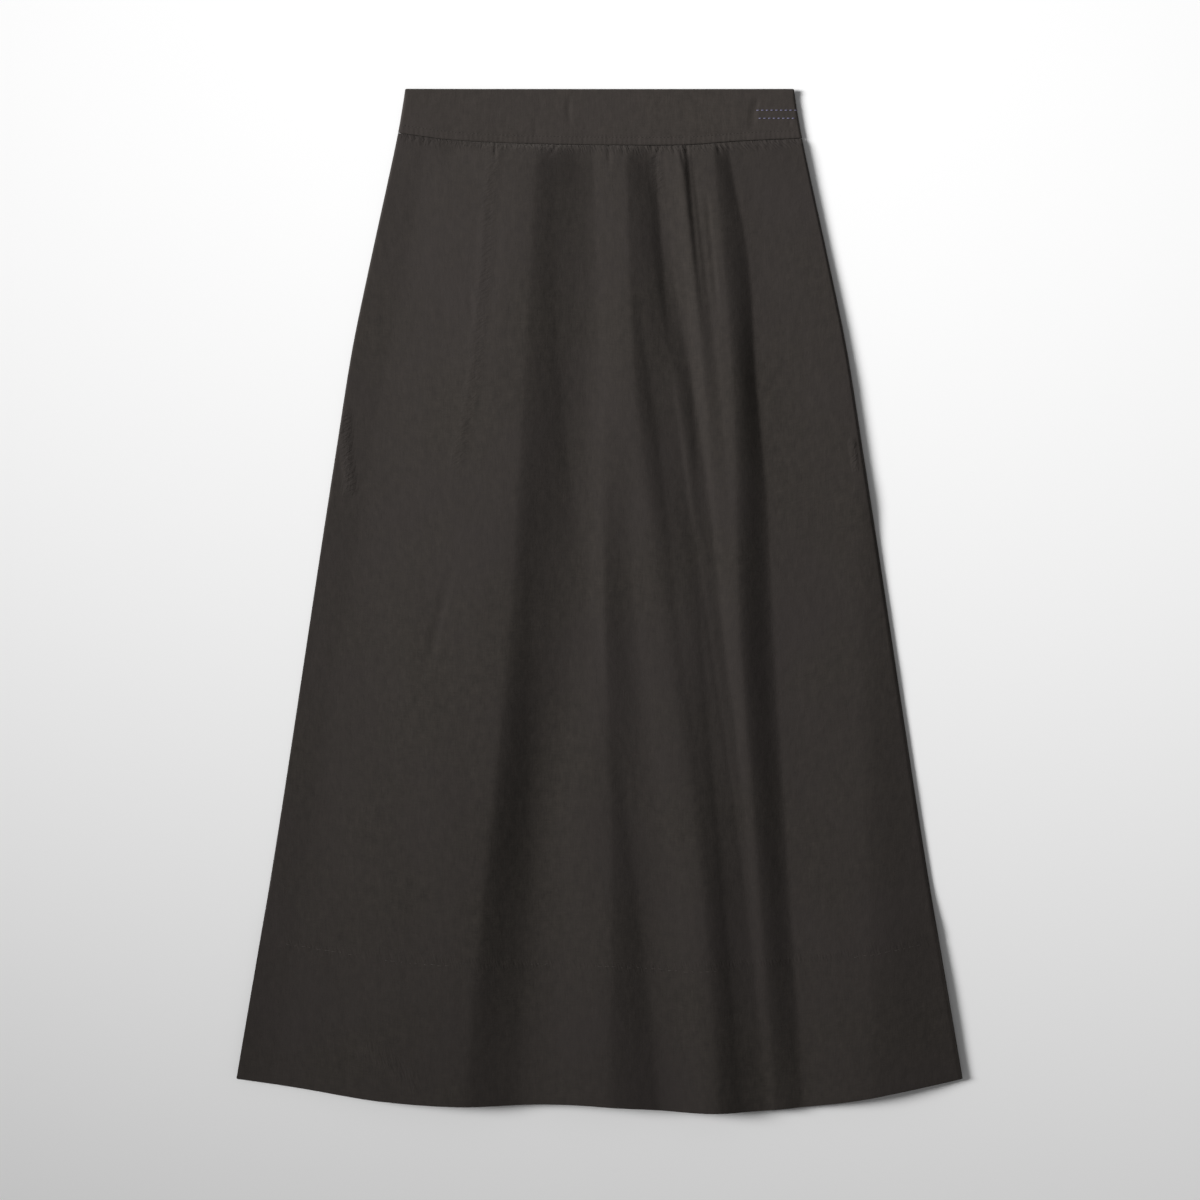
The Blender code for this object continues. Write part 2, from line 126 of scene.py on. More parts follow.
# The gathers along the waist seam, each a narrow dip: x at the seam, length, depth, half its
# width, and how far its foot lies to the right of its head.
Gather = namedtuple("Gather", "x length dip half lean")
GATHERS = (
    Gather(-0.1665, 0.006, 0.0004, 0.0012, 0.0010), Gather(-0.1590, 0.008, 0.0005, 0.0013, -0.0010),
    Gather(-0.1528, 0.010, 0.0006, 0.0016, 0.0020), Gather(-0.1462, 0.007, 0.0006, 0.0012, 0.0010),
    Gather(-0.1401, 0.006, 0.0005, 0.0011, 0.0000), Gather(-0.1335, 0.004, 0.0004, 0.0010, 0.0010),
    Gather(-0.1213, 0.005, 0.0003, 0.0012, 0.0000), Gather(-0.1130, 0.004, 0.0003, 0.0010, 0.0000),
    Gather(-0.1065, 0.006, 0.0004, 0.0012, -0.0015), Gather(-0.1005, 0.009, 0.0005, 0.0014, -0.0020),
    Gather(-0.0905, 0.018, 0.0009, 0.0012, 0.0020), Gather(-0.0857, 0.006, 0.0005, 0.0010, 0.0005),
    Gather(-0.0828, 0.008, 0.0006, 0.0010, 0.0000), Gather(-0.0790, 0.010, 0.0007, 0.0011, 0.0008),
    Gather(-0.0762, 0.008, 0.0007, 0.0010, 0.0005), Gather(-0.0692, 0.005, 0.0005, 0.0011, -0.0010),
    Gather(-0.0640, 0.008, 0.0006, 0.0012, 0.0000), Gather(-0.0595, 0.005, 0.0005, 0.0010, 0.0000),
    Gather(-0.0561, 0.006, 0.0006, 0.0010, 0.0015), Gather(-0.0479, 0.009, 0.0008, 0.0011, 0.0010),
    Gather(-0.0430, 0.006, 0.0007, 0.0010, 0.0010), Gather(-0.0364, 0.014, 0.0010, 0.0014, -0.0080),
    Gather(-0.0240, 0.005, 0.0004, 0.0012, 0.0000), Gather(-0.0080, 0.006, 0.0005, 0.0011, 0.0000),
    Gather(-0.0040, 0.009, 0.0006, 0.0012, 0.0005), Gather(0.0082, 0.022, 0.0008, 0.0016, 0.0000),
    Gather(0.0131, 0.007, 0.0005, 0.0011, 0.0000), Gather(0.0196, 0.012, 0.0009, 0.0012, 0.0020),
    Gather(0.0248, 0.008, 0.0006, 0.0012, 0.0010), Gather(0.0392, 0.006, 0.0005, 0.0012, -0.0015),
    Gather(0.0452, 0.010, 0.0006, 0.0012, -0.0010), Gather(0.0525, 0.015, 0.0007, 0.0014, -0.0060),
    Gather(0.0590, 0.007, 0.0007, 0.0010, -0.0010), Gather(0.0637, 0.012, 0.0009, 0.0012, 0.0015),
    Gather(0.0690, 0.024, 0.0009, 0.0013, 0.0030), Gather(0.0748, 0.010, 0.0009, 0.0010, 0.0010),
    Gather(0.0800, 0.005, 0.0004, 0.0010, 0.0000), Gather(0.0835, 0.006, 0.0005, 0.0010, 0.0000),
    Gather(0.0889, 0.008, 0.0006, 0.0012, -0.0020), Gather(0.0925, 0.006, 0.0005, 0.0010, 0.0000),
    Gather(0.0958, 0.007, 0.0006, 0.0011, 0.0005), Gather(0.1016, 0.013, 0.0010, 0.0014, 0.0020),
    Gather(0.1062, 0.008, 0.0007, 0.0011, 0.0020), Gather(0.1110, 0.009, 0.0008, 0.0012, 0.0020),
    Gather(0.1168, 0.006, 0.0005, 0.0010, 0.0000), Gather(0.1226, 0.007, 0.0005, 0.0011, 0.0000),
    Gather(0.1294, 0.008, 0.0006, 0.0012, 0.0010), Gather(0.1335, 0.006, 0.0005, 0.0010, 0.0000),
    Gather(0.1368, 0.011, 0.0008, 0.0012, 0.0010), Gather(0.1413, 0.006, 0.0005, 0.0010, -0.0005),
    Gather(0.1468, 0.009, 0.0008, 0.0011, -0.0015), Gather(0.1520, 0.006, 0.0006, 0.0011, 0.0010),
    Gather(0.1577, 0.010, 0.0007, 0.0012, 0.0015), Gather(0.1640, 0.008, 0.0008, 0.0011, 0.0015),
    Gather(0.1697, 0.006, 0.0005, 0.0011, 0.0005),
)
# x at the seam and how far the cloth puffs up there between its gathers, as a share
PUFFS = (
    (-0.175, 0.0), (-0.160, 0.6), (-0.142, 0.6), (-0.125, 0.1), (-0.105, 0.6), (-0.085, 1.0),
    (-0.036, 1.0), (-0.020, 0.3), (0.005, 0.9), (0.020, 0.8), (0.035, 0.5), (0.050, 1.0),
    (0.095, 1.0), (0.140, 0.9), (0.170, 0.4),
)
PUFF_HEIGHT = 0.0012
PUFF_REACH = 0.045        # distance below the seam at which the puffs have died away


def along(table, at):
    """Values at the given places, on a smooth curve through a table of (place, value) rows."""
    places, values = np.array(table, float).T
    slopes = np.empty_like(values)
    slopes[1:-1] = (values[2:] - values[:-2]) / (places[2:] - places[:-2])
    slopes[0] = (values[1] - values[0]) / (places[1] - places[0])
    slopes[-1] = (values[-1] - values[-2]) / (places[-1] - places[-2])
    i = np.clip(np.searchsorted(places, at) - 1, 0, len(places) - 2)
    span = places[i + 1] - places[i]
    t = np.clip((at - places[i]) / span, 0, 1)
    return ((1 + 2 * t) * (1 - t) ** 2 * values[i] + t * (1 - t) ** 2 * span * slopes[i]
            + t * t * (3 - 2 * t) * values[i + 1] + t * t * (t - 1) * span * slopes[i + 1])


def down_skirt(values, v):
    """Values given at even steps from waist to hem, read at the share v of the way."""
    return along(tuple(zip(np.linspace(0, 1, len(values)), values)), v)


def ease(start, end, at):
    """0 up to start, 1 past end, and a soft step between them."""
    t = np.clip((at - start) / (end - start), 0, 1)
    return t * t * (3 - 2 * t)


def mix(a, b, t):
    """The value at the share t of the way from a to b."""
    return a + (b - a) * t


def cut_point(u, v, inset=0.0):
    """x and depth of points of a panel. u runs from -1 at the left side seam to 1 at the right
    one, and v from 0 at the waist seam to 1 at the hem."""
    seam = along(WAIST_SEAM, u * HALF_WAIST_SEAM) + GAP
    hem = along(HEM_LINE, u * HALF_HEM) - inset
    side_depth = mix(mix(WAIST_SEAM[0][1], WAIST_SEAM[-1][1], (u + 1) / 2), SIDE_SEAM[-1][0], v)
    return u * (along(SIDE_SEAM, side_depth) - inset), mix(seam, hem, v)


def ridge_height(ridge, x, v):
    """How far one long fold lifts the cloth."""
    off = x - down_skirt(ridge.crest, v)
    left = np.clip(-off / down_skirt(ridge.rise, v), 0, 1)
    right = np.clip(off / down_skirt(ridge.fall, v), 0, 1)
    top, foot = down_skirt(ridge.top, v), down_skirt(ridge.foot, v)
    flank = np.where(off < 0, (1 - left ** LEFT_FLANK) ** LEFT_FLANK, (1 - right ** top) ** foot)
    return down_skirt(ridge.lift, v) * flank


def folds(u, v):
    """The height of all the long folds of the front, held down along its seams."""
    x, depth = cut_point(u, v)
    below = depth - cut_point(u, 0.0)[1]
    free = ease(0.0, EDGE_REACH, (1 - abs(u)) * HALF_HEM)
    free = free * mix(1.0, SEAM_SHARE, (1 - np.clip(below / SEAM_REACH, 0, 1)) ** 2)
    return free * sum(ridge_height(ridge, x, v) for ridge in RIDGES)


def gathered(u, below, mirror=1):
    """The height of the gathers and of the puffs between them, at a distance below the seam."""
    x = mirror * u * HALF_WAIST_SEAM
    held = ease(0.0, 0.005, below) * (1 - ease(0.006, PUFF_REACH, below))
    height = PUFF_HEIGHT * (np.interp(x, *np.array(PUFFS).T) * held)
    for gather in GATHERS:
        down = np.clip(below / gather.length, 0, 1)
        s = np.clip(abs(x - gather.x - gather.lean * down) / (gather.half * (1 + down)), 0, 1)
        height -= gather.dip * (1 - s * s) ** 2 * (1 - ease(0.35, 1.0, down))
    return height


def rolled_edge(z, edge, u, half_width, fade):
    """Rounds a sheet off along its two side seams, where it comes to the height of edge."""
    roll = 0.0025
    s = 1 - np.clip((1 - abs(u)) * half_width / roll, 0, 1)
    return mix(z, edge, (1 - np.sqrt(1 - s * s)) * fade)


def outward(points):
    """The unit normals of a grid of points, whose rows and columns turn to the left."""
    normals = np.cross(np.gradient(points, axis=1), np.gradient(points, axis=0))
    return normals / np.linalg.norm(normals, axis=2, keepdims=True)


def turned_cloth(face, columns, rows, turned, bend):
    """Rows of points for cloth that is folded back on itself. face(u, v, rolled) puts the
    outside of the cloth, rows run away from the fold, and turned is how many of them, from
    the fold on, have a second layer of cloth behind them. bend is the radius of the fold."""
    u, v = np.meshgrid(columns, rows)
    outer = face(u, v, True)
    hidden = face(u[:turned] * (1 - TURN_IN), v[:turned], False)
    inner = hidden - 2 * bend * outward(hidden)
    beyond = outer[0] - outer[1]
    beyond /= np.linalg.norm(beyond, axis=1, keepdims=True)
    turn = [mix(outer[0], inner[0], (1 - math.cos(a)) / 2) + bend * math.sin(a) * beyond
            for a in np.radians((150, 120, 90, 60, 30))]
    return np.concatenate([inner[::-1], np.array(turn), outer])


def sheet_of_cloth(name, points, wall):
    """A thin piece of cloth through rows of points, its wall on the inside. It carries a UV map
    called grain that measures the cloth in metres along and across its threads."""
    rows, columns = points.shape[:2]
    bpy.ops.mesh.primitive_grid_add(x_subdivisions=columns - 1, y_subdivisions=rows - 1, size=1,
                                    calc_uvs=False)
    piece = bpy.context.object
    piece.name = piece.data.name = name
    mesh = piece.data
    plain = np.empty(len(mesh.vertices) * 3)
    mesh.vertices.foreach_get("co", plain)
    plain = plain.reshape(-1, 3)
    column = np.rint((plain[:, 0] + 0.5) * (columns - 1)).astype(int)
    row = np.rint((plain[:, 1] + 0.5) * (rows - 1)).astype(int)
    mesh.vertices.foreach_set("co", points[row, column].ravel())

    across = np.zeros((rows, columns))
    across[:, 1:] = np.cumsum(np.linalg.norm(np.diff(points, axis=1), axis=2), axis=1)
    across -= across[:, columns // 2][:, None]
    lengthwise = np.zeros((rows, columns))
    lengthwise[1:] = np.cumsum(np.linalg.norm(np.diff(points, axis=0), axis=2), axis=0)
    grain = np.stack([across, lengthwise], axis=2)[row, column]
    corners = np.empty(len(mesh.loops), int)
    mesh.loops.foreach_get("vertex_index", corners)
    mesh.uv_layers.new(name="grain").data.foreach_set("uv", grain[corners].ravel())

    mesh.update()
    skin = piece.modifiers.new("wall", "SOLIDIFY")
    skin.thickness = wall
    skin.offset = -1
    bpy.ops.object.modifier_apply(modifier=skin.name)
    mesh.shade_smooth()
    piece.select_set(False)
    return piece


def spaced(first, last, finest, widest, growth):
    """Places from first to last, finest apart at first and then wider and wider."""
    places = [first]
    while places[-1] < last:
        places.append(places[-1] + min(widest, finest + growth * (places[-1] - first)))
    stretch = (last - first) / (places[-1] - first)
    return [first + (place - first) * stretch for place in places]


def weave_group():
    """Plain weave: yarns that pass over and under each other, thick in some places and thin in
    others. Height is for a bump and Tone, about 0.5, is for the colour. Crumple is the height of
    the fine wrinkles of washed cloth, and of the puckers that its sewing draws up."""
    group = bpy.data.node_groups.new("plain weave", "ShaderNodeTree")
    for socket, kind in (("Grain", "NodeSocketVector"), ("Puckers", "NodeSocketVector"),
                         ("Yarns per metre", "NodeSocketFloat"), ("Slub", "NodeSocketFloat")):
        group.interface.new_socket(name=socket, in_out="INPUT", socket_type=kind)
    for socket in ("Height", "Tone", "Crumple"):
        group.interface.new_socket(name=socket, in_out="OUTPUT", socket_type="NodeSocketFloat")
    nodes, link = group.nodes, group.links.new
    given = nodes.new("NodeGroupInput")
    result = nodes.new("NodeGroupOutput")

    def maths(operation, a, b=None, c=None):
        node = nodes.new("ShaderNodeMath")
        node.operation = operation
        for socket, value in zip(node.inputs, (a, b, c)):
            if isinstance(value, (int, float)):
                socket.default_value = value
            elif value is not None:
                link(value, socket)
        return node.outputs[0]

    def streaks(across, lengthwise, detail, slant=0.0):
        """Noise that is drawn out along one set of yarns, or at a slant to it, from 0 to 1."""
        turn = nodes.new("ShaderNodeVectorRotate")
        turn.rotation_type = "Z_AXIS"
        turn.inputs["Angle"].default_value = math.radians(slant)
        link(given.outputs["Grain"], turn.inputs["Vector"])
        stretch = nodes.new("ShaderNodeVectorMath")
        stretch.operation = "MULTIPLY"
        stretch.inputs[1].default_value = (across, lengthwise, 1.0)
        link(turn.outputs[0], stretch.inputs[0])
        noise = nodes.new("ShaderNodeTexNoise")
        noise.inputs["Scale"].default_value = 1.0
        noise.inputs["Detail"].default_value = detail
        link(stretch.outputs[0], noise.inputs["Vector"])
        return noise.outputs["Fac"]

    def parted(vector):
        split = nodes.new("ShaderNodeSeparateXYZ")
        link(vector, split.inputs[0])
        return split.outputs

    yarns = nodes.new("ShaderNodeVectorMath")
    yarns.operation = "SCALE"
    link(given.outputs["Grain"], yarns.inputs[0])
    link(maths("MULTIPLY", given.outputs["Yarns per metre"], math.pi), yarns.inputs["Scale"])
    threads = parted(yarns.outputs[0])
    warp, weft = maths("SINE", threads["X"]), maths("SINE", threads["Y"])
    over = maths("MULTIPLY", warp, weft)
    grooves = maths("ADD", maths("ABSOLUTE", warp), maths("ABSOLUTE", weft))

    uneven_yarns = maths("ADD", streaks(900.0, 90.0, 3.0), streaks(110.0, 900.0, 3.0))
    uneven = maths("SUBTRACT", uneven_yarns, 1.0)
    slub = maths("MULTIPLY", uneven, given.outputs["Slub"])
    height = maths("MULTIPLY_ADD", over, 0.5, maths("MULTIPLY", grooves, 0.5))
    link(maths("MULTIPLY_ADD", slub, 2.0, height), result.inputs["Height"])
    mottled = maths("MULTIPLY_ADD", streaks(150.0, 110.0, 6.0), 0.9,
                    maths("MULTIPLY_ADD", over, 0.10, slub))
    link(maths("ADD", mottled, 0.05), result.inputs["Tone"])

    puckers = parted(given.outputs["Puckers"])
    washed = maths("MULTIPLY", streaks(120.0, 80.0, 4.0), 0.10)
    beside_line = maths("MULTIPLY_ADD", streaks(430.0, 120.0, 2.0, 58.0), puckers["X"], washed)
    link(maths("MULTIPLY_ADD", streaks(520.0, 120.0, 2.0, -14.0), puckers["Y"], beside_line),
         result.inputs["Crumple"])
    return group


PLAIN_WEAVE = weave_group()


def cotton(name, dark, light, faded, slub, roughness):
    """Yarn-dyed cotton: its yarns vary between dark and light, and it is faded in soft clouds.
    A colour attribute called puckers says where sewing draws it up, in X across a line that
    runs down the cloth and in Y across one that runs along it."""
    material = bpy.data.materials.new(name)
    material.use_nodes = True
    nodes, link = material.node_tree.nodes, material.node_tree.links.new
    shader = nodes["Principled BSDF"]
    shader.inputs["Specular IOR Level"].default_value = 0.18
    shader.inputs["Sheen Weight"].default_value = 0.10
    shader.inputs["Sheen Roughness"].default_value = 0.55
    shader.inputs["Sheen Tint"].default_value = (0.82, 0.74, 0.68, 1.0)

    grain = nodes.new("ShaderNodeUVMap")
    grain.uv_map = "grain"
    drawn_up = nodes.new("ShaderNodeAttribute")
    drawn_up.attribute_name = "puckers"
    weave = nodes.new("ShaderNodeGroup")
    weave.node_tree = PLAIN_WEAVE
    weave.inputs["Yarns per metre"].default_value = 2100.0
    weave.inputs["Slub"].default_value = slub
    link(grain.outputs["UV"], weave.inputs["Grain"])
    link(drawn_up.outputs["Vector"], weave.inputs["Puckers"])

    yarn = nodes.new("ShaderNodeMix")
    yarn.data_type = "RGBA"
    yarn.inputs["A"].default_value = (*dark, 1.0)
    yarn.inputs["B"].default_value = (*light, 1.0)
    link(weave.outputs["Tone"], yarn.inputs["Factor"])

    place = nodes.new("ShaderNodeTexCoord")
    cloud = nodes.new("ShaderNodeTexNoise")
    cloud.inputs["Scale"].default_value = 9.0
    cloud.inputs["Detail"].default_value = 5.0
    link(place.outputs["Object"], cloud.inputs["Vector"])
    spread = nodes.new("ShaderNodeMapRange")
    spread.inputs["From Min"].default_value = 0.35
    spread.inputs["From Max"].default_value = 0.70
    spread.inputs["To Max"].default_value = 0.75
    link(cloud.outputs["Fac"], spread.inputs["Value"])
    wash = nodes.new("ShaderNodeMix")
    wash.data_type = "RGBA"
    wash.inputs["B"].default_value = (*faded, 1.0)
    link(spread.outputs["Result"], wash.inputs["Factor"])
    link(yarn.outputs["Result"], wash.inputs["A"])
    link(wash.outputs["Result"], shader.inputs["Base Color"])

    dull = nodes.new("ShaderNodeMapRange")
    dull.inputs["To Min"].default_value = roughness - 0.06
    dull.inputs["To Max"].default_value = roughness + 0.06
    link(weave.outputs["Tone"], dull.inputs["Value"])
    link(dull.outputs["Result"], shader.inputs["Roughness"])

    wrinkles = nodes.new("ShaderNodeBump")
    wrinkles.inputs["Strength"].default_value = 1.0
    wrinkles.inputs["Distance"].default_value = 0.0050
    link(weave.outputs["Crumple"], wrinkles.inputs["Height"])
    relief = nodes.new("ShaderNodeBump")
    relief.inputs["Strength"].default_value = 0.45
    relief.inputs["Distance"].default_value = 0.00015
    link(weave.outputs["Height"], relief.inputs["Height"])
    link(wrinkles.outputs["Normal"], relief.inputs["Normal"])
    link(relief.outputs["Normal"], shader.inputs["Normal"])
    return material


skirt_cotton = cotton("charcoal brown cotton", dark=(0.0160, 0.0135, 0.0116),
                      light=(0.0400, 0.0340, 0.0292), faded=(0.0286, 0.0236, 0.0224),
                      slub=0.65, roughness=0.88)


def back_face(u, v, rolled):
    """The outside of the back, which faces down."""
    x, depth = cut_point(u, v, TUCK)
    below = depth - cut_point(u, 0.0)[1]
    z = BACK_SHARE * np.maximum(0.0, folds(u, v) - BACK_DULL)
    share = BACK_GATHERS * (1 - ease(0.0, BACK_GATHER_REACH, below))
    z = np.maximum(z + share * gathered(u, below, mirror=-1), 0.0)
    if rolled:
        stack = mix(STACK_PLAIN, STACK_POCKET, 1 - ease(0.355, 0.400, depth))
        z = rolled_edge(z, stack / 2 - GAP / 2 - WALL, u, HALF_HEM, 1 - ease(0.80, HEM_STITCH, v))
    return np.stack([x, LENGTH / 2 - depth, z], axis=-1)


BACK_COLUMNS = np.linspace(1, -1, 131)
back_rows = [HEM_EDGE - d / PANEL for d in np.linspace(0, HEM_TURN - HEM_BEND, 13)]
BACK_TURNED = len(back_rows)
above_hem = spaced(0.0, HEM_STITCH * PANEL, finest=0.0012, widest=0.011, growth=0.07)
back_rows += [below / PANEL for below in above_hem[-2::-1]]
back_cloth = turned_cloth(back_face, BACK_COLUMNS, back_rows, BACK_TURNED, HEM_BEND)
skirt_back = sheet_of_cloth("skirt_back", back_cloth, WALL)
skirt_back.data.materials.append(skirt_cotton)
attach(skirt_back, "root")
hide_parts("back_panel")

# The hem's stitches are small, sewn by hand, and come to the outside as light dashes.
HEM_PITCH = 0.0068        # from one stitch to the next
HALF_AT_STITCH = 0.2985   # half the skirt's width where they run
BACK_RUNS = ((-0.280, -0.150), (-0.090, 0.020), (0.070, 0.275))   # x at which they start and end


def thread_material(name, colour):
    """Twisted cotton thread, a little uneven in colour along its length."""
    material = bpy.data.materials.new(name)
    material.use_nodes = True
    nodes, link = material.node_tree.nodes, material.node_tree.links.new
    shader = nodes["Principled BSDF"]
    shader.inputs["Roughness"].default_value = 0.7
    shader.inputs["Specular IOR Level"].default_value = 0.3
    place = nodes.new("ShaderNodeTexCoord")
    twist = nodes.new("ShaderNodeTexNoise")
    twist.inputs["Scale"].default_value = 900.0
    link(place.outputs["Object"], twist.inputs["Vector"])
    shade = nodes.new("ShaderNodeMix")
    shade.data_type = "RGBA"
    shade.inputs["A"].default_value = (*[0.6 * value for value in colour], 1.0)
    shade.inputs["B"].default_value = (*[1.4 * value for value in colour], 1.0)
    link(twist.outputs["Fac"], shade.inputs["Factor"])
    link(shade.outputs["Result"], shader.inputs["Base Color"])
    relief = nodes.new("ShaderNodeBump")
    relief.inputs["Distance"].default_value = 0.0001
    link(twist.outputs["Fac"], relief.inputs["Height"])
    link(relief.outputs["Normal"], shader.inputs["Normal"])
    return material


def single_stitch():
    """One stitch 1 long and 1 thick, along x, that dives into the cloth at both ends."""
    bpy.ops.mesh.primitive_cylinder_add(vertices=6, radius=0.5, depth=1, rotation=(0, math.pi / 2, 0))
    bpy.ops.object.transform_apply(rotation=True)
    bpy.ops.object.mode_set(mode="EDIT")
    for place in (-0.38, -0.15, 0.15, 0.38):
        bpy.ops.mesh.select_all(action="SELECT")
        bpy.ops.mesh.bisect(plane_co=(place, 0, 0), plane_no=(1, 0, 0))
    bpy.ops.object.mode_set(mode="OBJECT")
    stitch = bpy.context.object
    for vertex in stitch.data.vertices:
        across = vertex.co.x * 2
        vertex.co.z += 0.25 - 1.1 * across ** 4
    stitch.data.shade_smooth()
    stitch.select_set(False)
    return stitch


def stitched(name, face, ends, thickness, material, up=1):
    """A row of stitches on a piece of cloth. ends holds the u and v where each one starts and
    the u and v where it stops, and up is the side of the cloth that faces out."""
    pattern = single_stitch()
    starts, stops = face(ends[:, 0], ends[:, 1], True), face(ends[:, 2], ends[:, 3], True)
    copies = []
    for start, stop in zip(starts, stops):
        start, stop = Vector(start), Vector(stop)
        along_it = stop - start
        upright = Vector((0, 0, up)) - along_it * (along_it.z * up / along_it.length_squared)
        upright.normalize()
        sideways = upright.cross(along_it.normalized())
        middle = (start + stop) / 2
        turn = Matrix((along_it, sideways * thickness, upright * thickness)).transposed()
        copy = bpy.data.objects.new(name, pattern.data.copy())
        copy.data.transform(Matrix.Translation(middle) @ turn.to_4x4())
        bpy.context.collection.objects.link(copy)
        copies.append(copy)
    bpy.data.objects.remove(pattern, do_unlink=True)
    for copy in copies:
        copy.select_set(True)
    bpy.context.view_layer.objects.active = copies[0]
    bpy.ops.object.join()
    row = bpy.context.object
    row.name = row.data.name = name
    row.data.materials.append(material)
    row.select_set(False)
    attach(row, "root")
    return row


def hem_stitches(runs, seed):
    """Where the hem's hand stitches come to the outside, a little uneven in place and length.
    runs holds the x at which each row of them starts and ends."""
    random = np.random.default_rng(seed)
    middles = np.concatenate([np.arange(start, end, HEM_PITCH) for start, end in runs])
    middles = middles + random.uniform(-0.0012, 0.0012, len(middles))
    half = random.uniform(0.0010, 0.0026, len(middles))
    wander = random.uniform(-0.0006, 0.0006, (len(middles), 2)) / PANEL
    u = np.stack([middles - half, middles + half], axis=1) / HALF_AT_STITCH
    v = HEM_STITCH + wander
    return np.stack([u[:, 0], v[:, 0], u[:, 1], v[:, 1]], axis=1)


hem_thread = thread_material("light brown thread", (0.062, 0.054, 0.048))
back_hem_stitch = stitched("back_hem_stitch", back_face, hem_stitches(BACK_RUNS, seed=22),
                           thickness=0.00024, material=hem_thread, up=-1)

# ================================================================ pocket bags
# Two flat bags of thin cotton hang inside the front from the waist seam. Each is two layers
# sewn round its edge, and one edge is caught in the side seam.

POCKET_TOP = 0.0500       # depth of the bag's upper edge
POCKET_FOOT = 0.340       # depth of its lower edge
POCKET_TOP_WIDTH = 0.084
POCKET_FOOT_WIDTH = 0.104
POCKET_CORNER = 0.018     # radius of its lower corner away from the seam
POCKET_INSET = 0.0035     # its edge stays this far inside the rolled side seam
POCKET_WALL = 0.0009      # its two thin layers
POCKET_LEVEL = 0.0024     # height of its upper face
POCKET_RIPPLE = 0.00012   # how far it is from flat

pocket_cotton = cotton("pocket cotton", dark=(0.0170, 0.0150, 0.0135),
                       light=(0.0340, 0.0300, 0.0270), faded=(0.0250, 0.0228, 0.0210),
                       slub=0.8, roughness=0.90)


def pocket_points(side):
    """Rows of points on the upper face of one bag, side -1 on the left and 1 on the right."""
    corner = POCKET_CORNER / (POCKET_FOOT - POCKET_TOP)
    rows = np.concatenate([np.linspace(0, 1 - corner, 30),
                           1 - corner + corner * np.sin(np.linspace(0.1, 1, 10) * math.pi / 2)])
    t, v = np.meshgrid(np.linspace(0, 1, 22), rows[::-1])
    depth = mix(POCKET_TOP, POCKET_FOOT, v)
    into_corner = np.maximum(0.0, depth - POCKET_FOOT + POCKET_CORNER)
    width = mix(POCKET_TOP_WIDTH, POCKET_FOOT_WIDTH, v) - POCKET_CORNER
    width = width + np.sqrt(np.maximum(POCKET_CORNER ** 2 - into_corner ** 2, 0)) - POCKET_INSET
    x = along(SIDE_SEAM, depth) - POCKET_INSET - width * ((1 - t) if side > 0 else t)
    ripple = POCKET_RIPPLE * np.sin(70 * x + 40 * depth) * np.sin(90 * depth)
    return np.stack([side * x, LENGTH / 2 - depth, POCKET_LEVEL + ripple], axis=-1)


for side, word in ((-1, "left"), (1, "right")):
    bag = sheet_of_cloth(f"{word}_pocket", pocket_points(side), POCKET_WALL)
    bag.data.materials.append(pocket_cotton)
    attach(bag, "root")
    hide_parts(f"{word}_pocket_bag")

# ================================================================ front panel
# The front is one gathered piece of the same cotton. Its fullness falls from the waist seam in
# long soft folds, the pocket bags press through it, and its deep hem is turned up and sewn.

# Smaller creases of the front. path: its (x, depth) points. left and right: how
# far it spreads on either side. height: of its middle, below 0 for a trough. ends: the shares
# of its length over which it dies away at its start and its end.
Crease = namedtuple("Crease", "name path left right height ends")
CREASES = (
    Crease("pleat beside the waist's middle", ((0.0740, 0.0400), (0.0790, 0.090), (0.0835, 0.138),
           (0.0880, 0.180), (0.0945, 0.227)), 0.004, 0.003, -0.0007, (0.0, 0.6)),
    Crease("fine pleat line", ((0.0915, 0.085), (0.0945, 0.105), (0.0982, 0.148), (0.1016, 0.183),
           (0.1045, 0.218)), 0.0045, 0.003, -0.0006, (0.3, 0.4)),
    Crease("pocket edge, left", ((-0.0880, 0.061), (-0.0935, 0.105), (-0.0950, 0.148),
           (-0.0990, 0.183), (-0.1030, 0.227), (-0.1083, 0.270), (-0.1180, 0.331)),
           0.007, 0.016, -0.0003, (0.05, 0.1)),
    Crease("crease by the left pocket", ((-0.1153, 0.174), (-0.1110, 0.188), (-0.1083, 0.200)),
           0.003, 0.003, -0.0006, (0.3, 0.3)),
    Crease("pocket foot, left", ((-0.1310, 0.3400), (-0.165, 0.3375), (-0.2214, 0.3270)),
           0.003, 0.003, -0.0003, (0.1, 0.2)),
    Crease("pocket foot, right", ((0.1396, 0.3414), (0.180, 0.3390), (0.2284, 0.3327)),
           0.003, 0.003, -0.0003, (0.1, 0.2)),
    Crease("long faint crease on the left", ((-0.1222, 0.399), (-0.1405, 0.467), (-0.1492, 0.512)),
           0.008, 0.006, -0.0006, (0.4, 0.4)),
    Crease("wrinkle in the left hem", ((-0.1736, 0.762), (-0.1650, 0.772), (-0.1562, 0.779)),
           0.004, 0.004, -0.0005, (0.4, 0.4)),
    Crease("dent in the left hem", ((-0.2040, 0.8442), (-0.1990, 0.850), (-0.1950, 0.8573)),
           0.004, 0.004, -0.0005, (0.4, 0.4)),
)


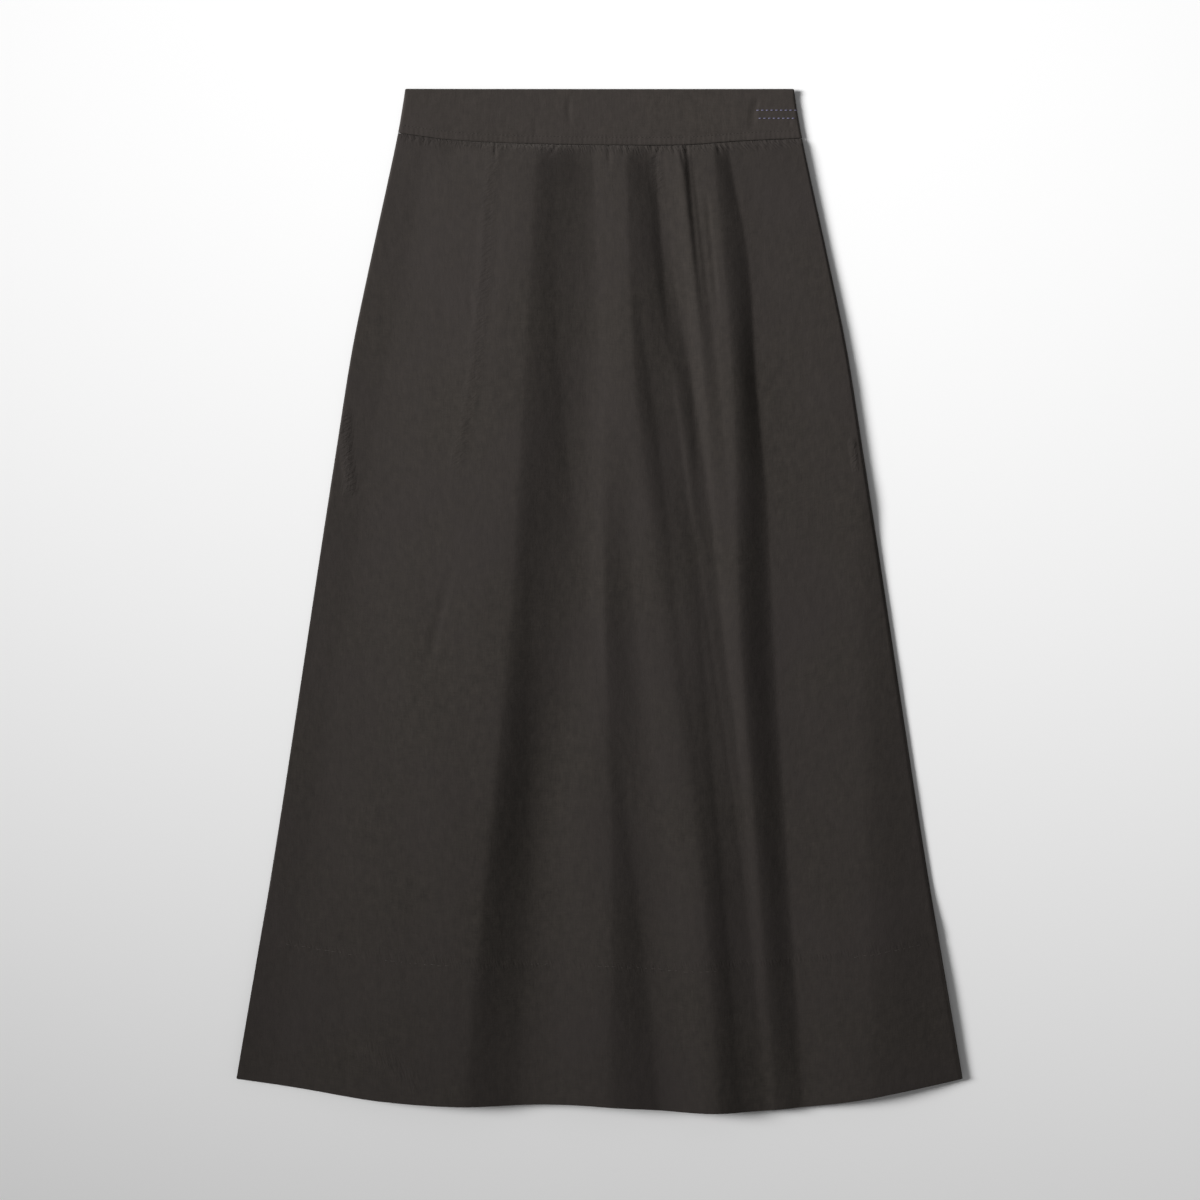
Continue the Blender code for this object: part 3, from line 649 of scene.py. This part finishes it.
def beside(path, x, depth):
    """How far points lie from a smooth path, more than 0 to the right of the way that it runs
    down the skirt, and the share of its length at which they lie beside it."""
    steps = np.linspace(0, len(path) - 1, 6 * len(path))
    xs = along([(k, point[0]) for k, point in enumerate(path)], steps)
    depths = along([(k, point[1]) for k, point in enumerate(path)], steps)
    side = np.full(x.shape, np.inf)
    share = np.zeros(x.shape)
    for k in range(len(steps) - 1):
        dx, dy = xs[k + 1] - xs[k], depths[k + 1] - depths[k]
        size = math.hypot(dx, dy)
        t = np.clip(((x - xs[k]) * dx + (depth - depths[k]) * dy) / size ** 2, 0, 1)
        off = np.hypot(x - xs[k] - t * dx, depth - depths[k] - t * dy)
        turn = np.sign((x - xs[k]) * dy - (depth - depths[k]) * dx)
        nearer = off < abs(side)
        side = np.where(nearer, off * np.where(turn < 0, -1, 1), side)
        share = np.where(nearer, (k + t) / (len(steps) - 1), share)
    return side, share


def crease_height(crease, x, depth):
    """How far one crease lifts or lowers the cloth."""
    reach = max(crease.left, crease.right)
    xs, depths = zip(*crease.path)
    near = ((x > min(xs) - reach) & (x < max(xs) + reach)
            & (depth > min(depths) - reach) & (depth < max(depths) + reach))
    height = np.zeros(x.shape)
    side, share = beside(crease.path, x[near], depth[near])
    s = np.clip(abs(side) / np.where(side < 0, crease.left, crease.right), 0, 1)
    start, end = crease.ends
    fade = ease(0.0, start, share) if start else 1.0
    fade = fade * (1 - ease(1 - end, 1.0, share)) if end else fade
    height[near] = crease.height * (1 - s * s) ** 2 * fade
    return height


def unevenness(x, y, wave, height, seed):
    """The slight random swell of cloth that isn't pressed flat."""
    random = np.random.default_rng(seed)
    total = np.zeros(np.shape(x))
    waves = 16
    for _ in range(waves):
        heading, size, start = random.uniform((0, 0.6, 0), (math.pi, 1.7, 2 * math.pi))
        across_waves = x * math.cos(heading) + y * math.sin(heading)
        total += np.sin(2 * math.pi * across_waves / (wave * size) + start)
    return height * total / math.sqrt(waves)


POCKET_MARGIN = 0.015     # the front stays at the bag's height this far past its lower edge
STEP_REACH = 0.060        # distance in which it comes down from a thicker stack of layers
HEM_MARGIN = 0.004        # share of the way down by which it is up before the turned-up hem
HEM_DIMPLE = 0.0003       # depth of the line that the hem's stitching draws in
DIMPLE_WIDTH = 0.0025
SEAM_DIP = 0.0007         # how far the waist seam draws the front in
SEAM_DIP_REACH = 0.0035


def resting_height(depth, v):
    """Height of the front's face where it lies flat on the layers below it."""
    below_pocket = ease(POCKET_FOOT + POCKET_MARGIN, POCKET_FOOT + STEP_REACH, depth)
    onto_hem = ease(HEM_STITCH - STEP_REACH / PANEL, HEM_STITCH - HEM_MARGIN, v)
    return mix(mix(STACK_POCKET, STACK_PLAIN, below_pocket), STACK_HEM, onto_hem)


def front_face(u, v, rolled=True):
    """The outside of the front."""
    x, depth = cut_point(u, v)
    below = depth - cut_point(u, 0.0)[1]
    rest = resting_height(depth, v)
    z = rest + folds(u, v) + gathered(u, below)
    for crease in CREASES:
        z = z + crease_height(crease, x, depth)
    wide_swell = unevenness(x, depth, wave=0.070, height=0.00022, seed=3)
    fine_swell = unevenness(x, depth * 0.6, wave=0.016, height=0.00003, seed=5)
    z = z + wide_swell * ease(0.0, 0.05, below) + fine_swell * ease(0.0, 0.02, below)
    z = z - HEM_DIMPLE * np.exp(-((v - HEM_STITCH) * PANEL / DIMPLE_WIDTH) ** 2)
    z = z - SEAM_DIP * (1 - ease(0.0, SEAM_DIP_REACH, below))
    if rolled:
        z = rolled_edge(z, rest / 2 + GAP / 2 + WALL, u, HALF_HEM, 1 - ease(0.80, HEM_STITCH, v))
    return np.stack([x, LENGTH / 2 - depth, z], axis=-1)


# Where sewing draws up the front: a line's (x, depth) points, how far its puckers reach to
# either side and how strong they are.
PuckerLine = namedtuple("PuckerLine", "path reach strength")
PUCKERS_BESIDE = (
    PuckerLine(((-0.0910, 0.055), (-0.0965, 0.105), (-0.0980, 0.148), (-0.1020, 0.183), (-0.1060, 0.227),
                (-0.1115, 0.270), (-0.1230, 0.325)), 0.010, 0.13),
    PuckerLine(((-0.2214, 0.285), (-0.2200, 0.315), (-0.2170, 0.348)), 0.007, 0.30),
    PuckerLine(((0.2195, 0.305), (0.2220, 0.327)), 0.004, 0.22),
    PuckerLine(((0.0480, 0.056), (0.0510, 0.085)), 0.008, 0.13),
)
PUCKERS_ALONG = (
    PuckerLine(((-0.2740, 0.7400), (-0.2000, 0.7510), (-0.1300, 0.7565), (0.0500, 0.7618),
                (0.2000, 0.7530), (0.2830, 0.7400)), 0.0050, 0.12),
    PuckerLine(((-0.2000, 0.835), (-0.1800, 0.845), (-0.1600, 0.862)), 0.014, 0.10),
)
SEAM_PUCKERS = 0.20       # strength of the puckers along the whole waist seam


def draw_up(piece):
    """Writes the attribute that tells the cotton where its sewing puckers the cloth."""
    mesh = piece.data
    place = np.empty(len(mesh.vertices) * 3)
    mesh.vertices.foreach_get("co", place)
    x, y, _ = place.reshape(-1, 3).T
    depth = LENGTH / 2 - y
    pull = np.zeros((len(x), 4))
    for channel, lines in enumerate((PUCKERS_BESIDE, PUCKERS_ALONG)):
        for line in lines:
            side, share = beside(line.path, x, depth)
            near = line.strength * (1 - ease(0.2, 1.0, abs(side) / line.reach))
            pull[:, channel] = np.maximum(pull[:, channel], near)
    below = depth - along(WAIST_SEAM, np.clip(x, -HALF_WAIST_SEAM, HALF_WAIST_SEAM))
    pull[:, 1] = np.maximum(pull[:, 1], SEAM_PUCKERS * (1 - ease(0.003, 0.012, below)))
    puckers = mesh.attributes.new("puckers", "FLOAT_COLOR", "POINT")
    puckers.data.foreach_set("color", pull.ravel())


# u across the front and how close its columns of points stand there
CLOSENESS = (
    (-1.0, 4.0), (-0.985, 2.5), (-0.95, 0.8), (-0.60, 0.9), (-0.56, 1.8), (-0.50, 1.8), (-0.45, 1.0),
    (-0.20, 1.0), (0.0, 1.0), (0.20, 1.3), (0.62, 1.5), (0.70, 1.0), (0.95, 0.8), (0.985, 2.5),
    (1.0, 4.0),
)
FRONT_COLUMNS = 251
fine_u = np.linspace(-1, 1, 2001)
crowd = np.cumsum(np.interp(fine_u, *np.array(CLOSENESS).T))
front_columns = np.interp(np.linspace(crowd[0], crowd[-1], FRONT_COLUMNS), crowd, fine_u)
front_columns[0], front_columns[-1] = -1, 1
front_rows = [HEM_EDGE - d / PANEL for d in np.linspace(0, HEM_TURN - HEM_BEND, 21)]
FRONT_TURNED = len(front_rows)
above_hem = spaced(0.0, HEM_STITCH * PANEL, finest=0.0008, widest=0.0056, growth=0.07)
front_rows += [below / PANEL for below in above_hem[-2::-1]]
front_cloth = turned_cloth(front_face, front_columns, front_rows, FRONT_TURNED, HEM_BEND)
skirt_front = sheet_of_cloth("skirt_front", front_cloth, WALL)
skirt_front.data.materials.append(skirt_cotton)
draw_up(skirt_front)
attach(skirt_front, "root")
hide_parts("front_panel")

# x at which the hem's stitches start and end, where they show on the front
FRONT_RUNS = ((-0.274, -0.217), (-0.187, -0.128), (-0.060, -0.040), (0.000, 0.106), (0.226, 0.284))
front_hem_stitch = stitched("front_hem_stitch", front_face, hem_stitches(FRONT_RUNS, seed=21),
                            thickness=0.00036, material=hem_thread)

# ================================================================ waistband
# The waistband is a strip of the same cotton round a firm interfacing, folded along its straight
# top edge and topstitched close to the seam. Front and back halves meet at the side seams. Two
# plain rows of running stitch in blue thread stand at its right end.

BAND_BEND = 0.00095       # radius of the fold along the band's top edge
BAND_WALL = 0.00085       # the cloth of the band with its interfacing
BAND_FACE = 0.0043        # height of the front half's face
BAND_EDGE_DIP = 0.0006    # how far the waist seam draws the band in
BAND_EDGE_REACH = 0.0014  # and how far up from the seam that shows
TOPSTITCH = 0.0068        # distance of the topstitching above the waist seam
STITCH = 0.0024           # length of a topstitch
STITCH_PITCH = 0.0032     # from one topstitch to the next
STITCH_DIP = 0.00028      # depth of the line that the topstitching draws in
STITCH_DIP_WIDTH = 0.0016
SEAM_RIPPLE = 0.00012     # height of the ripples between the stitching and the seam
SEAM_RIPPLE_PITCH = 0.0043
RUN_PITCH = 0.0041        # from one running stitch to the next
RUN_LENGTH = 0.0030
BAND_CREASES = (
    Crease("soft crease on the right", ((0.1385, 0.004), (0.1345, 0.020), (0.1315, 0.038)),
           0.0060, 0.0040, -0.0006, (0.3, 0.4)),
    Crease("faint crease left of the middle", ((-0.0257, 0.004), (-0.0262, 0.020), (-0.0255, 0.034)),
           0.0050, 0.0024, -0.0004, (0.3, 0.3)),
    Crease("crease into the seam", ((-0.0552, 0.019), (-0.0560, 0.032), (-0.0550, 0.044)),
           0.0034, 0.0030, -0.0002, (0.4, 0.1)),
    Crease("pucker by the side seam", ((0.1649, 0.028), (0.1650, 0.031), (0.1649, 0.034)),
           0.0020, 0.0016, -0.0004, (0.4, 0.4)),
)


def band_point(u, v, inset):
    """x and depth of points of the band, v from 0 at its top edge to 1 at the waist seam."""
    depth = mix(inset, along(WAIST_SEAM, u * HALF_WAIST_SEAM), v)
    end = mix(WAIST_SEAM[0][1], WAIST_SEAM[-1][1], (u + 1) / 2)
    return u * (along(SIDE_SEAM, v * end) - inset), depth


def band_swell(u, depth):
    """The pillowing of the band between its edges and its topstitching."""
    seam = along(WAIST_SEAM, u * HALF_WAIST_SEAM)
    above = seam - depth
    at_stitches = np.exp(-((above - TOPSTITCH) / STITCH_DIP_WIDTH) ** 2)
    at_edge = 1 - ease(0.0, BAND_EDGE_REACH, above)
    return -STITCH_DIP * at_stitches - BAND_EDGE_DIP * at_edge


def front_band_face(u, v, rolled):
    """The outside of the front half, which faces up."""
    x, depth = band_point(u, v, 0.0)
    swell = unevenness(x, depth, wave=0.050, height=0.00010, seed=11)
    z = BAND_FACE + band_swell(u, depth) + swell * ease(0.0, 0.25, v)
    for crease in BAND_CREASES:
        z = z + crease_height(crease, x, depth)
    ripple = np.sin(x * 2 * math.pi / SEAM_RIPPLE_PITCH) * np.exp(-((v - 0.93) / 0.10) ** 2)
    z = z + SEAM_RIPPLE * ripple
    if rolled:
        z = rolled_edge(z, BAND_FACE / 2 + GAP / 2 + BAND_WALL, u, HALF_WAIST, ease(0.05, 0.2, v))
    return np.stack([x, LENGTH / 2 - depth, z], axis=-1)


def back_band_face(u, v, rolled):
    """The outside of the back half, which faces down."""
    x, depth = band_point(u, v, TUCK)
    z = np.maximum(-band_swell(u, depth), 0.0) * 0.5
    if rolled:
        z = rolled_edge(z, BAND_FACE / 2 - GAP / 2 - BAND_WALL, u, HALF_WAIST, ease(0.05, 0.2, v))
    return np.stack([x, LENGTH / 2 - depth, z], axis=-1)


# A lighter, warmer copy of the skirt's cotton. Its extra lightness is painted light: it stands for the
# brighter light on the flat band at the top, where the lamp is brightest.
band_cotton_painted_lighter = cotton("waistband cotton painted lighter", dark=(0.0195, 0.0162, 0.0139),
                     light=(0.0478, 0.0402, 0.0350), faded=(0.0342, 0.0284, 0.0262),
                     slub=0.65, roughness=0.86)

band_rows = np.concatenate([[BAND_BEND / MIDDLE_SEAM], np.linspace(0.06, 0.74, 16),
                            np.linspace(0.77, 1.0, 12)])
for word, face, columns in (("front", front_band_face, np.linspace(1, -1, 261)),
                            ("back", back_band_face, np.linspace(-1, 1, 161))):
    band_cloth = turned_cloth(face, columns, band_rows, len(band_rows), BAND_BEND)
    band = sheet_of_cloth(f"{word}_band", band_cloth, BAND_WALL)
    band.data.materials.append(band_cotton_painted_lighter)
    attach(band, "root")
    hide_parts(f"{word}_waistband")


def band_stitches():
    """Where the topstitching runs, at the same distance above the seam all the way."""
    count = round(2 * HALF_WAIST_SEAM / STITCH_PITCH) - 2
    middles = (np.arange(count) - (count - 1) / 2) * STITCH_PITCH
    u = np.stack([middles - STITCH / 2, middles + STITCH / 2], axis=1) / HALF_WAIST_SEAM
    v = 1 - TOPSTITCH / along(WAIST_SEAM, u * HALF_WAIST_SEAM)
    return np.stack([u[:, 0], v[:, 0], u[:, 1], v[:, 1]], axis=1)


def running_stitches(first, last, depth):
    """A plain row on the waistband at one depth, from one x to another."""
    starts = np.arange(first, last, RUN_PITCH)
    x = np.stack([starts, starts + RUN_LENGTH], axis=1)
    u = x / along(SIDE_SEAM, depth)
    v = depth / along(WAIST_SEAM, u * HALF_WAIST_SEAM)
    return np.stack([u[:, 0], v[:, 0], u[:, 1], v[:, 1]], axis=1)


sewing_thread = thread_material("brown thread", (0.036, 0.031, 0.027))
blue_thread = thread_material("blue thread", (0.125, 0.118, 0.190))
front_topstitch = stitched("front_topstitch", front_band_face, band_stitches(),
                           thickness=0.00042, material=sewing_thread)
back_topstitch = stitched("back_topstitch", back_band_face, band_stitches(),
                          thickness=0.00030, material=sewing_thread, up=-1)
upper_row = stitched("upper_running_stitch", front_band_face,
                     running_stitches(first=0.1362, last=0.1690, depth=0.0186),
                     thickness=0.0009, material=blue_thread)
lower_row = stitched("lower_running_stitch", front_band_face,
                     running_stitches(first=0.1382, last=0.1700, depth=0.0256),
                     thickness=0.0009, material=blue_thread)

# ================================================================ floor, light and camera
# A plain pale floor and one wide soft lamp from the left, brightest past the waist, whose light
# fades softly towards the hem. Seen from straight above.

bpy.ops.mesh.primitive_plane_add(size=8, location=(0, 0, -0.0004))
floor = bpy.context.object
floor.name = "floor"
paint = bpy.data.materials.new("pale floor")
paint.use_nodes = True
paint.node_tree.nodes["Principled BSDF"].inputs["Base Color"].default_value = (0.90, 0.90, 0.90, 1.0)
paint.node_tree.nodes["Principled BSDF"].inputs["Roughness"].default_value = 0.9
floor.data.materials.append(paint)

TILT = math.radians(57)   # the lamp's angle from straight above
REACH = 4.6               # its distance from the skirt's middle
LAMP_Y = 0.80             # how far it stands towards the waist
AIM = (0.85, 0.50, 0.0)   # the point on the floor that it is turned to
lamp = bpy.data.lights.new("window", "SPOT")
lamp.energy = 2230.0
lamp.shadow_soft_size = 1.1
lamp.spot_size = math.radians(39)
lamp.spot_blend = 1.0
holder = bpy.data.objects.new("window", lamp)
bpy.context.collection.objects.link(holder)
holder.location = (-REACH * math.sin(TILT), LAMP_Y, REACH * math.cos(TILT))
holder.rotation_euler = (holder.location - Vector(AIM)).to_track_quat("Z", "Y").to_euler()

world = bpy.data.worlds.new("studio")
world.use_nodes = True
world.node_tree.nodes["Background"].inputs["Color"].default_value = (1.0, 1.0, 1.0, 1.0)
world.node_tree.nodes["Background"].inputs["Strength"].default_value = 0.19
bpy.context.scene.world = world
bpy.context.scene.view_settings.view_transform = "Standard"

VIEW_WIDTH = 1.044        # width of the floor that the picture takes in
HEIGHT = 2.6
camera = bpy.data.cameras.new("camera")
camera.sensor_width = 36
camera.lens = camera.sensor_width * HEIGHT / VIEW_WIDTH
viewer = bpy.data.objects.new("camera", camera)
bpy.context.collection.objects.link(viewer)
viewer.location = (0.0004, 0.0, HEIGHT)
bpy.context.scene.camera = viewer
